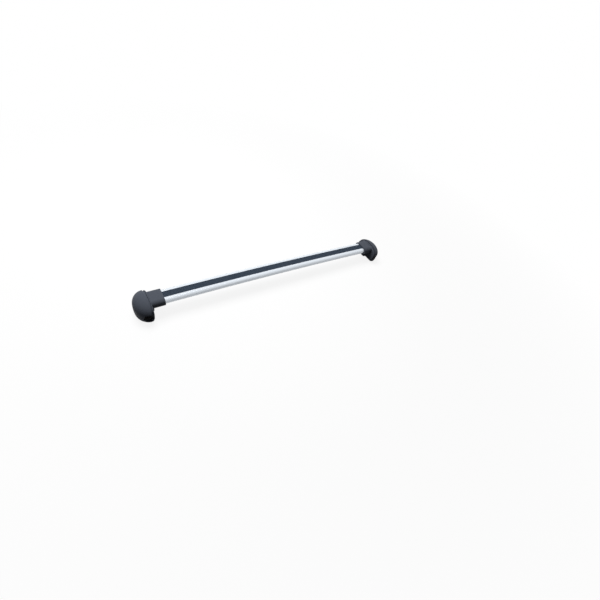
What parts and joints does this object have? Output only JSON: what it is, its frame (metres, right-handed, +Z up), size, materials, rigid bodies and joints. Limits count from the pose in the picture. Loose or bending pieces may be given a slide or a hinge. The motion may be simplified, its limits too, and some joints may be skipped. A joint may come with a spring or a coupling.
{
  "type": "roof crossbar",
  "caption": "Arched silver aluminium roof crossbar with a ribbed black rubber top strip and a black domed clamp foot at each end.",
  "frame": {"origin": "on the floor under the middle of the bar, at the bottom centre of the whole part", "axes": "+X along the bar towards the right foot, +Y across the bar (fore and aft on a vehicle), +Z up through the grip strip"},
  "size_m": [1.095, 0.1174, 0.067],
  "materials": {
    "silver": "satin anodised",
    "strip_rubber": "matt ribbed rubber",
    "black_plastic": "fine satin grain",
    "pad_rubber": "matt",
    "zinc_steel": "bright zinc"
  },
  "bodies": {
    "crossbar": {"bar_extrusion": "silver", "grip_strip": "strip_rubber", "left_foot_body": "black_plastic", "left_outer_cover": "black_plastic", "left_saddle_pad": "pad_rubber", "left_inner_nut": "zinc_steel", "left_outer_nut": "zinc_steel", "left_nut_plate": "zinc_steel", "left_fixing_screws": "zinc_steel", "right_foot_body": "black_plastic", "right_outer_cover": "black_plastic", "right_saddle_pad": "pad_rubber", "right_inner_nut": "zinc_steel", "right_outer_nut": "zinc_steel", "right_nut_plate": "zinc_steel", "right_fixing_screws": "zinc_steel"},
    "left_jaw": {"left_lower_jaw": "black_plastic", "left_jaw_pad": "pad_rubber", "left_inner_washer": "zinc_steel", "left_outer_washer": "zinc_steel", "left_inner_bolt": "zinc_steel", "left_outer_bolt": "zinc_steel"},
    "right_jaw": {"right_lower_jaw": "black_plastic", "right_jaw_pad": "pad_rubber", "right_inner_washer": "zinc_steel", "right_outer_washer": "zinc_steel", "right_inner_bolt": "zinc_steel", "right_outer_bolt": "zinc_steel"}
  },
  "joints": [
    {"name": "left_jaw_slide", "type": "slide", "parent": "crossbar", "child": "left_jaw", "axis": [0, 0, -1], "range_m": [0, 0.008]},
    {"name": "right_jaw_slide", "type": "slide", "parent": "crossbar", "child": "right_jaw", "axis": [0, 0, -1], "range_m": [0, 0.008]}
  ]
}
